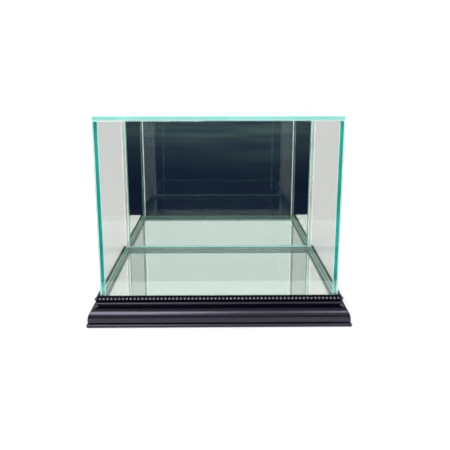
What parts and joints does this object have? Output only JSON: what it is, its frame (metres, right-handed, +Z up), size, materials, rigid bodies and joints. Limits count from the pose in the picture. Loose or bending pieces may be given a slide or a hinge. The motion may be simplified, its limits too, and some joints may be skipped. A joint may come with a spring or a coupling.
{
  "type": "glass display case",
  "caption": "Clear glass cover with a mirrored back, which lifts off a mirror floor framed by a bead-edged black moulding, to show a small collectible.",
  "frame": {"origin": "under the middle of the case, on the surface that it stands on", "axes": "+Z up, the front pane faces -Y, +X to the right when seen from the front"},
  "size_m": [0.233, 0.183, 0.1826],
  "materials": {
    "clear_glass": "polished float glass, 4 mm, clear faces and blue-green ground edges",
    "mirror_glass": "polished float glass over silvering, blue-green edges",
    "silvering": "bright silvering with a grey backing film on its outer side",
    "black_wood": "satin-gloss black lacquer on a moulded wood rail",
    "black_bead": "glossy black lacquer on pressed beading",
    "fibreboard": "raw brown fibreboard",
    "bumper_rubber": "matt black rubber",
    "nail_steel": "plain strip steel"
  },
  "bodies": {
    "base": {"platform_board": "fibreboard", "mirror_floor_silvering": "silvering", "mirror_floor": "mirror_glass", "rail_front": "black_wood", "rail_right": "black_wood", "rail_back": "black_wood", "rail_left": "black_wood", "bead_trim_front": "black_bead", "bead_trim_right": "black_bead", "bead_trim_back": "black_bead", "bead_trim_left": "black_bead", "v_nail_front_left_inner": "nail_steel", "v_nail_front_left_outer": "nail_steel", "v_nail_front_right_inner": "nail_steel", "v_nail_front_right_outer": "nail_steel", "v_nail_back_left_inner": "nail_steel", "v_nail_back_left_outer": "nail_steel", "v_nail_back_right_inner": "nail_steel", "v_nail_back_right_outer": "nail_steel", "bumper_front_left": "bumper_rubber", "bumper_front_right": "bumper_rubber", "bumper_back_left": "bumper_rubber", "bumper_back_right": "bumper_rubber"},
    "cover": {"glass_top": "clear_glass", "glass_front": "clear_glass", "glass_left": "clear_glass", "glass_right": "clear_glass", "mirror_back": "mirror_glass", "mirror_back_silvering": "silvering"}
  },
  "joints": [
    {"name": "cover_lift", "type": "slide", "parent": "base", "child": "cover", "axis": [0, 0, 1], "range_m": [0, 0.25]}
  ]
}
